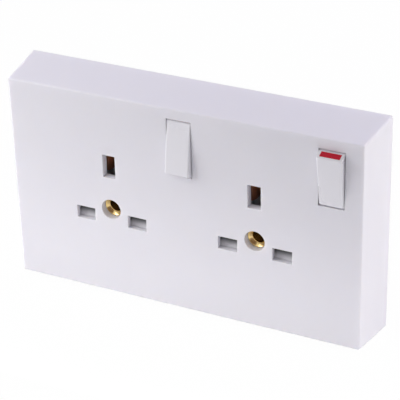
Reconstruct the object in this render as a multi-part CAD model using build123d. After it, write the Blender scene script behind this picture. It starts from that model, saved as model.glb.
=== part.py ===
"""One-gang to two-gang switched socket converter, a deep wall plate with two 13 A outlets.

Frame, in millimetres: +X to the right as seen from the front, +Z up, the front face looks along -Y.
The wall plane is y = 0, and the origin is midway between the two fixing holes on that plane.
Heights "h" are counted from the wall plane towards the front, so y = -h.
"""
import math
import os

from build123d import *

# Plate: a deep moulding with drafted sides, its back rim against the wall
PLATE_WIDTH = 149.0
PLATE_HEIGHT = 89.1
PLATE_DEPTH = 22.4
SIDE_DRAFT = 2.14            # each side leans in by this much from the rim to the face
SIDE_WALL = 2.2
FRONT_WALL = 2.2
EDGE_RADIUS = 0.8            # round the face and down the four corners

# Outlets: standard pin and fixing centres
FIXING_CENTRES = 60.3
PIN_SPREAD = 22.2            # between the line and neutral pins, and from their row up to the earth pin
PIN_ROW_DROP = 3.84          # the line and neutral row lies this far below the fixing holes
PIN_SLOT_WIDTH = 8.0
PIN_SLOT_HEIGHT = 5.33
EARTH_SLOT_WIDTH = 5.38
EARTH_SLOT_HEIGHT = 9.55
EARTH_COLLAR_WALL = 1.4
EARTH_COLLAR_DEPTH = 1.0
PIN_HEIGHT = 3.97
PIN_LENGTH = 17.7
EARTH_PIN_WIDTH = 3.96
EARTH_PIN_LENGTH = 22.7
PIN_END_ROOM = 0.5           # past the end of a line or neutral pin that is pushed home
EARTH_END_ROOM = 1.0         # past the end of an earth pin

# Fixing holes: a moulded pillar with a flared brass eyelet in it
FIXING_HOLE_RADIUS = 4.15
PILLAR_RADIUS = 5.3
EYELET_BORE_RADIUS = 2.5
EYELET_TUBE_WALL = 0.6
EYELET_RIM_RADIUS = 4.0
EYELET_RIM_DEPTH = 2.8       # below the plate's face
EYELET_FLARE = 1.4
EYELET_RIM_WALL = 0.8

# Rockers: a shell on two trunnions, with a bevel at each end and a red flash on the upper bevel
SWITCH_SIDE_MARGIN = 9.065   # from the plate's right edge at the wall to the right switch's aperture
SWITCH_TOP_MARGIN = 6.25     # from the plate's top edge at the wall to the apertures
ROCKER_WIDTH = 9.67
ROCKER_GAP = 0.3
APERTURE_END_GAP = 1.0       # past the lower edge of the rocker's flat face
ROCKER_TILT = 9.0
PIVOT_DEPTH = 3.4            # behind the plate's face
ROCKER_FACE = 4.83           # from the pivot out to the flat face
ROCKER_UP = 10.35            # from the pivot to the upper edge of the flat face
ROCKER_LOWER_EXTRA = 0.2     # its lower edge lies this much further from the pivot
UPPER_BEVEL_ANGLE = 13.0
LOWER_BEVEL_ANGLE = 8.0
BEVEL_LENGTH = 5.0
ROCKER_WALL = 1.4
ROCKER_CREST_CHAMFER = 0.3
ROCKER_SIDE_CHAMFER = 0.35
TRUNNION_RADIUS = 1.0
TRUNNION_LENGTH = 1.75
TRUNNION_CLEARANCE = 0.05
HUB_DROP = 2.2               # the shell's cheeks reach this far behind the pivot
HUB_HALF_HEIGHT = 3.2
BEARING_WALL = 1.9
BEARING_HALF_HEIGHT = 5.0
BEARING_REACH = 3.4          # the bearing walls go this far behind the pivot
FLASH_WIDTH = 7.7
FLASH_START = 0.65           # from the flat face's upper edge, down the bevel
FLASH_LENGTH = 2.4
FLASH_THICKNESS = 0.6
FLASH_PROUD = 0.04

# Plunger: sprung in a blind tube behind the rocker's face
TUBE_WIDTH = 5.8             # the tube is square outside
TUBE_BORE_RADIUS = 2.1
TUBE_REACH = 2.4             # behind the pivot
PLUNGER_CLEARANCE = 0.1
PLUNGER_TIP_REACH = 5.0      # behind the pivot
PLUNGER_TIP_WIDTH = 1.0
PLUNGER_HEAD = 0.2           # the plunger's inner end lies this far in front of the pivot
PLUNGER_WIRE_RADIUS = 0.25
PLUNGER_SPRING_TURNS = 3
WIRE_SIDES = 4               # the springs' wire is drawn with this many sides
SPANS_PER_TURN = 8           # and each of its turns with this many straight spans

# Rocking contact: tips over on a knife edge below the plunger
CONTACT_RATIO = 0.8          # its tilt for each degree of the rocker, the other way
CONTACT_THICKNESS = 1.0
CONTACT_WIDTH = 5.0
CONTACT_UP = 9.4
CONTACT_DOWN = 6.6
CONTACT_PLAY = 0.12
CONTACT_POINT_RISE = 7.5     # from the knife edge up to the meeting points
CONTACT_POINT_RADIUS = 1.7
CONTACT_POINT_HEIGHT = 0.5
KNIFE_PLAY = 0.04

# Shutters: a sloped lobe behind each pin slot, joined by a bridge under the fixing pillar
SHUTTER_PLAY = 0.2
SHUTTER_BACK_DEPTH = 6.6     # behind the plate's face
SHUTTER_RAMP_DEPTH = 5.3     # of the slope at the slot's upper edge
SHUTTER_COVER = 0.5          # past the slot's upper edge
LOBE_WIDTH = 9.4
BRIDGE_TOP = 2.4             # below the pin row
BRIDGE_BOTTOM = 8.5          # below the pin row
SHUTTER_TRAVEL = 6.0
RAIL_WALL = 1.4
RAIL_LIP = 1.0
RAIL_LIP_THICKNESS = 0.9
SPRING_RADIUS = 1.85
SPRING_WIRE_RADIUS = 0.3
SPRING_TURNS = 5
SPRING_LENGTH = 12.0
SPRING_SEAT = 2.0
SPRING_LEDGE_WIDTH = 7.4
SPIGOT_SIZE = 2.0
SPIGOT_LENGTH = 2.2

# Rear base: a plate set inside the rim, with cups for the earth pins and fences for the terminals
BASE_THICKNESS = 2.0
BASE_GAP = 0.3
SCREW_SIDE_INSET = 10.5      # from the plate's ends at the wall to the screws
CUP_WALL = 1.6
CUP_ROOM = 0.5
FENCE_WALL = 1.2
FENCE_GAP = 0.5
FENCE_HEIGHT = 6.4
SCREW_BOSS_RADIUS = 3.2
SCREW_RADIUS = 1.4
SCREW_LENGTH = 9.0
SCREW_HEAD_RADIUS = 2.8
SCREW_HEAD_HEIGHT = 1.2
SCREW_CLEARANCE = 0.1
DRIVE_SLOT_WIDTH = 0.8
DRIVE_SLOT_DEPTH = 0.6

# Brass: strips on the base with spring jaws for the pins, and pillar terminals behind it
STRIP = 0.8
STRIP_WIDTH = 3.6
LINE_LIFT = 4.0              # the line strips run this far above the base, over the other strips
JAW_THICKNESS = 0.7
JAW_WIDTH = 6.0
JAW_ROOT = 2.6               # half the jaws' opening at the strip
JAW_NIP_SQUEEZE = 0.12       # each jaw closes this far inside the pin's face
JAW_FLARE = 0.9
JAW_MOUTH = 2.2              # length of the flared part
JAW_PAD_RIM = 1.9
PIN_JAW_TOP_GAP = 0.8        # under the shutter's back
EARTH_JAW_TOP_DEPTH = 4.6
EARTH_JAW_WIDTH = 8.4
NEUTRAL_BAR_DROP = 11.0
FEED_BAR_GAP = 1.165         # above the rim of the earth clips' windows
FEED_BAR_DROP = 4.17         # below the rockers' pivots
LINE_STRIP_GAP = 12.0        # the line strips climb this far beside the switch's middle
STRIP_EYE_RIM = 1.2
POST_WIDTH = 3.0
POST_HEIGHT = 6.0
POST_LOW_RISE = 5.0
KEEPER_WIDTH = 1.5
KEEPER_GAP = 0.3
TERMINAL_SIZE = 8.0
TERMINAL_LENGTH = 8.0
TERMINAL_EDGE = 0.4
LINE_TERMINAL_X = 16.0
EARTH_TERMINAL_X = -8.0
NEUTRAL_TERMINAL_X = 2.0
WIRE_HOLE_RADIUS = 1.9
WIRE_HOLE_DEPTH = 3.6        # behind the base
TENON_SIZE = 3.2             # square tail of a terminal, staked over its strip
TENON_HEAD_SIZE = 4.6
TENON_HEAD_HEIGHT = 0.6
TENON_CLEARANCE = 0.1
TERMINAL_SCREW_RADIUS = 1.7
TERMINAL_SCREW_CLEARANCE = 0.05
TERMINAL_SCREW_HEAD_RADIUS = 2.9
TERMINAL_SCREW_HEAD_HEIGHT = 1.6

# Worked out from the values above
OUTLETS = {"left": -FIXING_CENTRES / 2, "right": FIXING_CENTRES / 2}
ROCKER_DOWN = ROCKER_UP + ROCKER_LOWER_EXTRA
APERTURE_WIDTH = ROCKER_WIDTH + 2 * ROCKER_GAP
APERTURE_HEIGHT = 2 * (ROCKER_DOWN + APERTURE_END_GAP)
SWITCH_X = (PLATE_WIDTH - APERTURE_WIDTH) / 2 - SWITCH_SIDE_MARGIN
SWITCHES = {side: x + SWITCH_X - OUTLETS["right"] for side, x in OUTLETS.items()}
REST_TILTS = {"left": -ROCKER_TILT, "right": ROCKER_TILT}
PIN_ROW = -PIN_ROW_DROP
EARTH_ROW = PIN_ROW + PIN_SPREAD
FEED_BAR_RISE = EARTH_ROW + EARTH_SLOT_HEIGHT / 2 + JAW_PAD_RIM + FEED_BAR_GAP + STRIP_WIDTH / 2
ROCKER_RISE = FEED_BAR_RISE + FEED_BAR_DROP
PLATE_RISE = ROCKER_RISE + APERTURE_HEIGHT / 2 + SWITCH_TOP_MARGIN - PLATE_HEIGHT / 2
SCREW_X = PLATE_WIDTH / 2 - SCREW_SIDE_INSET
SCREW_PLACES = ((-SCREW_X, PLATE_RISE), (SCREW_X, PLATE_RISE))
H_INNER = PLATE_DEPTH - FRONT_WALL
H_PIVOT = PLATE_DEPTH - PIVOT_DEPTH
H_STRIP = PLATE_DEPTH - PIN_LENGTH - PIN_END_ROOM
H_FLOOR = H_STRIP - STRIP
H_BASE = H_FLOOR - BASE_THICKNESS
H_LINE = H_FLOOR + LINE_LIFT
H_KNIFE = H_PIVOT - PLUNGER_TIP_REACH - CONTACT_PLAY - CONTACT_THICKNESS
H_SHUTTER_BACK = PLATE_DEPTH - SHUTTER_BACK_DEPTH
H_SHUTTER_FRONT = H_INNER - SHUTTER_PLAY
SHUTTER_HALF_WIDTH = (PIN_SPREAD + LOBE_WIDTH) / 2
TERMINALS = {
    "line": (LINE_TERMINAL_X, FEED_BAR_RISE),
    "earth": (EARTH_TERMINAL_X, EARTH_ROW),
    "neutral": (NEUTRAL_TERMINAL_X, -NEUTRAL_BAR_DROP),
}


def wall_plane(h):
    """The plane parallel to the wall at height h, with sketch axes X and Z, facing the front."""
    return Plane.XZ.offset(h)


def slab(outline, h_low, h_high):
    """A flat outline drawn in X and Z, filled from one height to another."""
    return extrude(wall_plane(h_low) * outline, amount=h_high - h_low)


def block(x, z, width, height, h_low, h_high):
    """A rectangular slab centred at x, z."""
    return slab(Pos(x, z) * Rectangle(width, height), h_low, h_high)


def rod(x, z, radius, h_low, h_high):
    """A round slab centred at x, z."""
    return slab(Pos(x, z) * Circle(radius), h_low, h_high)


def profile_face(points):
    """The face inside a closed line through (h, z) points."""
    return make_face(Polyline(*points, close=True))


def side_slab(face, x, width):
    """A face drawn in h and z, extruded along X about the middle x."""
    plane = Plane(origin=(x, 0, 0), x_dir=(0, -1, 0), z_dir=(-1, 0, 0))
    return extrude(plane * face, amount=width / 2, both=True)


def side_profile(points, x, width):
    """A closed profile of (h, z) points, extruded along X about the middle x."""
    return side_slab(profile_face(points), x, width)


def drafted_block(inset, h_low, h_high):
    """A block between two heights whose four flat sides follow the plate's draft, drawn in by inset."""
    shrink = SIDE_DRAFT * h_low / PLATE_DEPTH + inset
    width = PLATE_WIDTH - 2 * shrink
    height = PLATE_HEIGHT - 2 * shrink
    depth = h_high - h_low
    lean = SIDE_DRAFT * depth / PLATE_DEPTH
    wedge = Wedge(width, depth, height, lean, lean, width - lean, height - lean)
    return Pos(0, -(h_low + h_high) / 2, PLATE_RISE) * Rot(X=180) * wedge


def helix_spring(radius, wire_radius, turns, length):
    """A compression spring standing on z = 0 whose wire stays inside the given length."""
    rise = length - 2 * wire_radius
    path = Helix(pitch=rise / turns, height=rise, radius=radius)
    spans = turns * SPANS_PER_TURN
    sections = []
    for step in range(spans + 1):
        along = step / spans
        plane = Plane(path @ along, x_dir=(0, 0, 1), z_dir=path % along)
        sections.append(plane * RegularPolygon(wire_radius, WIRE_SIDES))
    return Pos(0, 0, wire_radius) * loft(sections, ruled=True)


def shutter_rails(x):
    """The two lipped rails inside the front wall that an outlet's shutter slides in."""
    rail_inside = SHUTTER_HALF_WIDTH + SHUTTER_PLAY
    lip_front = H_SHUTTER_BACK - SHUTTER_PLAY
    lip_back = lip_front - RAIL_LIP_THICKNESS
    z_top = PIN_ROW + PIN_SLOT_HEIGHT / 2
    z_bottom = PIN_ROW - BRIDGE_BOTTOM - SHUTTER_TRAVEL
    height = z_top - z_bottom
    z = (z_top + z_bottom) / 2
    rails = []
    for hand in (-1, 1):
        wall_x = x + hand * (rail_inside + RAIL_WALL / 2)
        lip_width = RAIL_WALL + RAIL_LIP
        lip_x = x + hand * (rail_inside + RAIL_WALL - lip_width / 2)
        rails.append(block(wall_x, z, RAIL_WALL, height, lip_back, H_INNER))
        rails.append(block(lip_x, z, lip_width, height, lip_back, lip_front))
    return rails


def spring_height():
    """The height of a shutter spring's axis above the wall plane."""
    return (H_SHUTTER_BACK + H_SHUTTER_FRONT) / 2


def spring_spigot():
    """A square peg inside one end of a shutter spring."""
    return Pos(0, -spring_height(), 0) * Box(SPIGOT_SIZE, SPIGOT_SIZE, SPIGOT_LENGTH)


def spring_ledge(x):
    """The ledge with a spigot that carries the lower end of a shutter spring."""
    z_seat = PIN_ROW - BRIDGE_BOTTOM - SPRING_LENGTH
    z_ledge = z_seat - SPRING_SEAT / 2
    ledge = block(x, z_ledge, SPRING_LEDGE_WIDTH, SPRING_SEAT, H_SHUTTER_BACK, H_INNER)
    return ledge + Pos(x, 0, z_seat + SPIGOT_LENGTH / 2) * spring_spigot()


def rocker_bearings(x):
    """The two walls inside the plate with open slots that the rocker's trunnions run in."""
    h_back = H_PIVOT - BEARING_REACH
    slot_width = 2 * (TRUNNION_RADIUS + TRUNNION_CLEARANCE)
    walls = []
    for hand in (-1, 1):
        wall_x = x + hand * (APERTURE_WIDTH + BEARING_WALL) / 2
        wall = block(wall_x, ROCKER_RISE, BEARING_WALL, 2 * BEARING_HALF_HEIGHT, h_back, H_INNER)
        axle = Pos(wall_x, -H_PIVOT, ROCKER_RISE) * Rot(Y=90) * Cylinder(slot_width / 2, 2 * BEARING_WALL)
        entry = block(wall_x, ROCKER_RISE, 2 * BEARING_WALL, slot_width, h_back, H_PIVOT)
        walls.append(wall - axle - entry)
    return walls


def front_housing():
    """The white moulding: face, drafted sides, pillars, rails, bearings and screw bosses."""
    shell = drafted_block(0, 0, PLATE_DEPTH)
    rim = shell.faces().sort_by(Axis.Y)[-1].edges()
    shell = fillet([edge for edge in shell.edges() if edge not in rim], EDGE_RADIUS)
    shell -= drafted_block(SIDE_WALL, 0, H_INNER)
    for x, z in SCREW_PLACES:
        shell += rod(x, z, SCREW_BOSS_RADIUS, H_FLOOR, H_INNER)
    for side, x in OUTLETS.items():
        collar_width = EARTH_SLOT_WIDTH + 2 * EARTH_COLLAR_WALL
        collar_height = EARTH_SLOT_HEIGHT + 2 * EARTH_COLLAR_WALL
        shell += rod(x, 0, PILLAR_RADIUS, 0, H_INNER)
        shell += block(x, EARTH_ROW, collar_width, collar_height, H_INNER - EARTH_COLLAR_DEPTH, H_INNER)
        shell += shutter_rails(x)
        shell += spring_ledge(x)
        shell += rocker_bearings(SWITCHES[side])
    for side, x in OUTLETS.items():
        shell -= block(x, EARTH_ROW, EARTH_SLOT_WIDTH, EARTH_SLOT_HEIGHT,
                       H_INNER - EARTH_COLLAR_DEPTH, PLATE_DEPTH)
        for hand in (-1, 1):
            shell -= block(x + hand * PIN_SPREAD / 2, PIN_ROW, PIN_SLOT_WIDTH, PIN_SLOT_HEIGHT,
                           H_INNER, PLATE_DEPTH)
        shell -= rod(x, 0, FIXING_HOLE_RADIUS, eyelet_seat(), PLATE_DEPTH)
        shell -= rod(x, 0, EYELET_BORE_RADIUS + EYELET_TUBE_WALL, 0, PLATE_DEPTH)
        shell -= block(SWITCHES[side], ROCKER_RISE, APERTURE_WIDTH, APERTURE_HEIGHT, H_INNER, PLATE_DEPTH)
    for x, z in SCREW_PLACES:
        shell -= rod(x, z, SCREW_RADIUS, H_FLOOR, H_FLOOR + SCREW_LENGTH)
    return shell


def eyelet_seat():
    """The height of the shoulder in a fixing hole that the eyelet's rim sits on."""
    return PLATE_DEPTH - EYELET_RIM_DEPTH - EYELET_FLARE - EYELET_RIM_WALL


def fixing_eyelet(x):
    """A brass eyelet: a plain tube that opens in a flare to a flat-backed rim."""
    h_rim = PLATE_DEPTH - EYELET_RIM_DEPTH
    h_throat = h_rim - EYELET_FLARE
    tube = EYELET_BORE_RADIUS + EYELET_TUBE_WALL
    flare_outer = EYELET_BORE_RADIUS + EYELET_FLARE
    outline = Polyline(
        (EYELET_BORE_RADIUS, h_throat),
        (EYELET_BORE_RADIUS, 0),
        (tube, 0),
        (tube, eyelet_seat()),
        (EYELET_RIM_RADIUS, eyelet_seat()),
        (EYELET_RIM_RADIUS, h_rim),
        (flare_outer, h_rim),
        close=True,
    )
    return Pos(x, 0, 0) * Rot(X=180) * revolve(make_face(outline), Axis.Y)


def rocker_place(side):
    """Where a rocker built about its pivot at the origin goes, at its rest tilt."""
    return Pos(SWITCHES[side], -H_PIVOT, ROCKER_RISE) * Rot(X=REST_TILTS[side])


def rocker_outline(inset, half_back):
    """A side profile about the pivot, as (h, z) points, drawn in by inset, that far up and down at the back."""
    up_lean = math.radians(UPPER_BEVEL_ANGLE)
    down_lean = math.radians(LOWER_BEVEL_ANGLE)
    length = BEVEL_LENGTH
    root = ROCKER_FACE - length * math.cos(up_lean)
    lower_length = (ROCKER_FACE - root) / math.cos(down_lean)
    return [
        (ROCKER_FACE - inset, ROCKER_UP - inset),
        (root, ROCKER_UP + length * math.sin(up_lean) - inset),
        (-HUB_DROP, half_back),
        (-HUB_DROP, -half_back),
        (root, inset - ROCKER_DOWN - lower_length * math.sin(down_lean)),
        (ROCKER_FACE - inset, inset - ROCKER_DOWN),
    ]


def flash_block(depth, proud):
    """The red flash's body on the upper bevel, sunk by depth and standing proud of the slope."""
    slope = Pos(0, -ROCKER_FACE, ROCKER_UP) * Rot(X=UPPER_BEVEL_ANGLE)
    thickness = depth + proud
    middle = FLASH_START + FLASH_LENGTH / 2
    return slope * Pos(0, middle, proud - thickness / 2) * Box(FLASH_WIDTH, FLASH_LENGTH, thickness)


def rocker():
    """A rocker about its pivot: an open-backed shell, trunnions and a blind plunger tube."""
    outline = profile_face(rocker_outline(0, HUB_HALF_HEIGHT))
    crests = outline.vertices().sort_by(Axis.X)[-2:]
    body = side_slab(chamfer(crests, ROCKER_CREST_CHAMFER), 0, ROCKER_WIDTH)
    cheek_edges = body.faces().filter_by(Axis.X).edges()
    rim = cheek_edges.filter_by(lambda edge: edge.bounding_box().max.Y < 0)
    body = chamfer(rim, ROCKER_SIDE_CHAMFER)
    cavity = rocker_outline(ROCKER_WALL, ROCKER_UP - ROCKER_WALL)
    body -= side_profile(cavity, 0, ROCKER_WIDTH - 2 * ROCKER_WALL)
    body += block(0, 0, TUBE_WIDTH, TUBE_WIDTH, -TUBE_REACH, ROCKER_FACE - ROCKER_WALL)
    body -= rod(0, 0, TUBE_BORE_RADIUS, -TUBE_REACH, ROCKER_FACE - ROCKER_WALL)
    stub = TRUNNION_LENGTH + ROCKER_WALL / 2
    for hand in (-1, 1):
        x = hand * (ROCKER_WIDTH - ROCKER_WALL + stub) / 2
        body += Pos(x, 0, 0) * Rot(Y=90) * Cylinder(TRUNNION_RADIUS, stub)
    body -= flash_block(FLASH_THICKNESS, 2 * FLASH_PROUD)
    return body


def plunger():
    """A plunger about the rocker's pivot: a round stem with a wedge for a nose."""
    radius = TUBE_BORE_RADIUS - PLUNGER_CLEARANCE
    width = 4 * radius
    wedge = [
        (PLUNGER_HEAD, width / 2),
        (-TUBE_REACH, width / 2),
        (-PLUNGER_TIP_REACH, PLUNGER_TIP_WIDTH / 2),
    ]
    stem = rod(0, 0, radius, -PLUNGER_TIP_REACH, PLUNGER_HEAD)
    return stem & side_profile(wedge + mirrored(reversed(wedge)), 0, width)


def plunger_spring():
    """The plunger's spring about the rocker's pivot, between the plunger and the tube's end."""
    length = ROCKER_FACE - ROCKER_WALL - PLUNGER_HEAD
    radius = TUBE_BORE_RADIUS - 2 * PLUNGER_CLEARANCE - PLUNGER_WIRE_RADIUS
    spring = helix_spring(radius, PLUNGER_WIRE_RADIUS, PLUNGER_SPRING_TURNS, length)
    return Pos(0, -PLUNGER_HEAD, 0) * Rot(X=90) * spring


def rocking_contact(side):
    """A brass see-saw on its knife edge, with a round meeting point under its upper end."""
    middle = (CONTACT_UP - CONTACT_DOWN) / 2
    bar = block(0, middle, CONTACT_WIDTH, CONTACT_UP + CONTACT_DOWN, 0, CONTACT_THICKNESS)
    point = rod(0, CONTACT_POINT_RISE, CONTACT_POINT_RADIUS, -CONTACT_POINT_HEIGHT, 0)
    tilt = -CONTACT_RATIO * REST_TILTS[side]
    return Pos(SWITCHES[side], -H_KNIFE, ROCKER_RISE) * Rot(X=tilt) * (bar + point)


def shutter(x):
    """An outlet's shutter: two sloped lobes joined by a bridge with a spring spigot."""
    half_slot = PIN_SLOT_HEIGHT / 2
    slope_fall = SHUTTER_RAMP_DEPTH - (PLATE_DEPTH - H_SHUTTER_FRONT)
    cover_fall = slope_fall * SHUTTER_COVER / PIN_SLOT_HEIGHT
    h_ramp_end = PLATE_DEPTH - SHUTTER_RAMP_DEPTH - cover_fall
    lobe = [
        (H_SHUTTER_FRONT, PIN_ROW - BRIDGE_BOTTOM),
        (H_SHUTTER_FRONT, PIN_ROW - half_slot),
        (h_ramp_end, PIN_ROW + half_slot + SHUTTER_COVER),
        (H_SHUTTER_BACK, PIN_ROW + half_slot + SHUTTER_COVER),
        (H_SHUTTER_BACK, PIN_ROW - BRIDGE_BOTTOM),
    ]
    bridge_height = BRIDGE_BOTTOM - BRIDGE_TOP
    bridge_z = PIN_ROW - (BRIDGE_BOTTOM + BRIDGE_TOP) / 2
    body = block(x, bridge_z, PIN_SPREAD, bridge_height, H_SHUTTER_BACK, H_SHUTTER_FRONT)
    for hand in (-1, 1):
        body += side_profile(lobe, x + hand * PIN_SPREAD / 2, LOBE_WIDTH)
    return body + Pos(x, 0, PIN_ROW - BRIDGE_BOTTOM - SPIGOT_LENGTH / 2) * spring_spigot()


def shutter_spring(x):
    """The spring that pushes an outlet's shutter up, between its bridge and the ledge."""
    spring = helix_spring(SPRING_RADIUS, SPRING_WIRE_RADIUS, SPRING_TURNS, SPRING_LENGTH)
    return Pos(x, -spring_height(), PIN_ROW - BRIDGE_BOTTOM - SPRING_LENGTH) * spring


def earth_cup_end():
    """The height of the inside end of the cups that take the ends of the earth pins."""
    return PLATE_DEPTH - EARTH_PIN_LENGTH - EARTH_END_ROOM


def terminal_fence(x, z):
    """The three walls behind the base around a terminal, open below for the wire."""
    inner = TERMINAL_SIZE + 2 * FENCE_GAP
    outer = inner + 2 * FENCE_WALL
    fence = block(x, z, outer, outer, H_BASE - FENCE_HEIGHT, H_BASE)
    room = block(x, z - FENCE_WALL / 2, inner, inner + FENCE_WALL, H_BASE - FENCE_HEIGHT, H_BASE)
    return fence - room


def line_posts(side):
    """The posts on the base that carry a line strip over the other strips."""
    x = SWITCHES[side] - LINE_STRIP_GAP
    z_low = EARTH_ROW - POST_LOW_RISE - POST_HEIGHT
    z_high = ROCKER_RISE + CONTACT_POINT_RISE
    return [block(x, z, POST_WIDTH, POST_HEIGHT, H_FLOOR, H_LINE) for z in (z_low, z_high)]


def trunnion_keepers(side):
    """The fingers on the base that close the bearing slots behind the rocker's trunnions."""
    h_end = H_PIVOT - TRUNNION_RADIUS - KEEPER_GAP
    height = 2 * (TRUNNION_RADIUS - KEEPER_GAP)
    reach = (APERTURE_WIDTH + BEARING_WALL) / 2
    x = SWITCHES[side]
    return [block(x + hand * reach, ROCKER_RISE, KEEPER_WIDTH, height, H_FLOOR, h_end) for hand in (-1, 1)]


def rear_base():
    """The moulded plate that closes the back and carries the brass."""
    base = drafted_block(SIDE_WALL + BASE_GAP, H_BASE, H_FLOOR)
    cup_width = EARTH_PIN_WIDTH + 2 * CUP_ROOM + 2 * CUP_WALL
    cup_height = EARTH_SLOT_HEIGHT + 2 * CUP_WALL
    for side, x in OUTLETS.items():
        base += block(x, EARTH_ROW, cup_width, cup_height, earth_cup_end() - CUP_WALL, H_BASE)
        base += line_posts(side)
        base += trunnion_keepers(side)
    for x, z in TERMINALS.values():
        base += terminal_fence(x, z)
    for x in OUTLETS.values():
        base -= block(x, EARTH_ROW, cup_width - 2 * CUP_WALL, cup_height - 2 * CUP_WALL,
                      earth_cup_end(), H_FLOOR)
        base -= rod(x, 0, PILLAR_RADIUS + BASE_GAP, H_BASE, H_FLOOR)
    tenon_hole = TENON_SIZE + 2 * TENON_CLEARANCE
    for x, z in TERMINALS.values():
        base -= block(x, z, tenon_hole, tenon_hole, H_BASE, H_FLOOR)
    for x, z in SCREW_PLACES:
        base -= rod(x, z, SCREW_RADIUS + SCREW_CLEARANCE, H_BASE, H_FLOOR)
    return base


def jaw_profile(h_foot, h_top, half_pin):
    """One spring jaw's profile: in to the nip, then out again at the mouth, as (h, offset) points."""
    h_nip = h_top - JAW_MOUTH
    nip = half_pin - JAW_NIP_SQUEEZE
    mouth = nip + JAW_FLARE
    inner = [(h_foot, JAW_ROOT), (h_nip, nip), (h_top, mouth)]
    outer = [(h, offset + JAW_THICKNESS) for h, offset in reversed(inner)]
    return inner + outer


def mirrored(points):
    """The same profile on the other side of the pin."""
    return [(h, -offset) for h, offset in points]


def clip_jaws(h_foot, h_top, half_pin, width):
    """A pair of jaws about a pin on the origin, facing each other along Z."""
    profile = jaw_profile(h_foot, h_top, half_pin)
    return side_profile(profile, 0, width) + side_profile(mirrored(profile), 0, width)


def clip_pad(width, h_low):
    """The strip's window around a pin at the origin, whose edges the jaws are folded up from."""
    length = 2 * (JAW_ROOT + JAW_THICKNESS + JAW_PAD_RIM)
    outer = block(0, 0, width + 2 * JAW_PAD_RIM, length, h_low, h_low + STRIP)
    return outer - block(0, 0, width, 2 * JAW_ROOT, h_low, h_low + STRIP)


def pin_clip(x, z, h_low):
    """A line or neutral pin's clip, standing on a strip whose underside is at h_low."""
    h_top = H_SHUTTER_BACK - PIN_JAW_TOP_GAP
    jaws = clip_jaws(h_low, h_top, PIN_HEIGHT / 2, JAW_WIDTH)
    return Pos(x, 0, z) * (jaws + clip_pad(JAW_WIDTH, h_low))


def earth_clip(x):
    """An earth pin's clip, with jaws on the pin's sides, standing on the base."""
    h_top = PLATE_DEPTH - EARTH_JAW_TOP_DEPTH
    jaws = clip_jaws(H_FLOOR, h_top, EARTH_PIN_WIDTH / 2, EARTH_JAW_WIDTH)
    clip = jaws + clip_pad(EARTH_SLOT_HEIGHT, H_FLOOR)
    return Pos(x, 0, EARTH_ROW) * Rot(Y=90) * clip


def strip_between(start, end, h_low):
    """A straight strip along X or Z between two (x, z) points, square past both of them."""
    width = abs(end[0] - start[0]) + STRIP_WIDTH
    height = abs(end[1] - start[1]) + STRIP_WIDTH
    middle_x = (start[0] + end[0]) / 2
    middle_z = (start[1] + end[1]) / 2
    return block(middle_x, middle_z, width, height, h_low, h_low + STRIP)


def strip_eye(name):
    """The square eye in a strip that its terminal's tenon passes through."""
    x, z = TERMINALS[name]
    outer = TENON_SIZE + 2 * STRIP_EYE_RIM
    rim = block(x, z, outer, outer, H_FLOOR, H_STRIP)
    return rim, block(x, z, TENON_SIZE, TENON_SIZE, H_FLOOR, H_STRIP)


def earth_strap():
    """The earth strap with a clip at each end."""
    x_end = FIXING_CENTRES / 2 - JAW_ROOT - JAW_THICKNESS - JAW_PAD_RIM
    strap = strip_between((-x_end, EARTH_ROW), (x_end, EARTH_ROW), H_FLOOR)
    for x in OUTLETS.values():
        window = EARTH_SLOT_HEIGHT + 2 * JAW_PAD_RIM
        strap -= block(x, EARTH_ROW, 2 * JAW_ROOT, window, H_FLOOR, H_STRIP)
        strap += earth_clip(x)
    rim, hole = strip_eye("earth")
    return strap + rim - hole


def neutral_bar():
    """The neutral bar below the outlets, with a tab up to each neutral clip."""
    z_bar = -NEUTRAL_BAR_DROP
    pins = [x - PIN_SPREAD / 2 for x in OUTLETS.values()]
    bar = strip_between((pins[0], z_bar), (pins[1], z_bar), H_FLOOR)
    z_pad = PIN_ROW - JAW_ROOT - JAW_THICKNESS - STRIP_WIDTH / 2
    for x in pins:
        bar += strip_between((x, z_bar), (x, z_pad), H_FLOOR)
        bar += pin_clip(x, PIN_ROW, H_FLOOR)
    rim, hole = strip_eye("neutral")
    return bar + rim - hole


def line_feed_bar():
    """The bar from the line terminal to both switches, with an upright knife edge under each."""
    ends = list(SWITCHES.values())
    bar = strip_between((ends[0], FEED_BAR_RISE), (ends[1], FEED_BAR_RISE), H_FLOOR)
    for x in ends:
        bar += strip_between((x, FEED_BAR_RISE), (x, ROCKER_RISE), H_FLOOR)
        knife = [
            (H_FLOOR, ROCKER_RISE - STRIP),
            (H_KNIFE - STRIP, ROCKER_RISE - STRIP),
            (H_KNIFE - KNIFE_PLAY, ROCKER_RISE),
            (H_KNIFE - STRIP, ROCKER_RISE + STRIP),
            (H_FLOOR, ROCKER_RISE + STRIP),
        ]
        bar += side_profile(knife, x, STRIP_WIDTH)
    rim, hole = strip_eye("line")
    return bar + rim - hole


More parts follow.
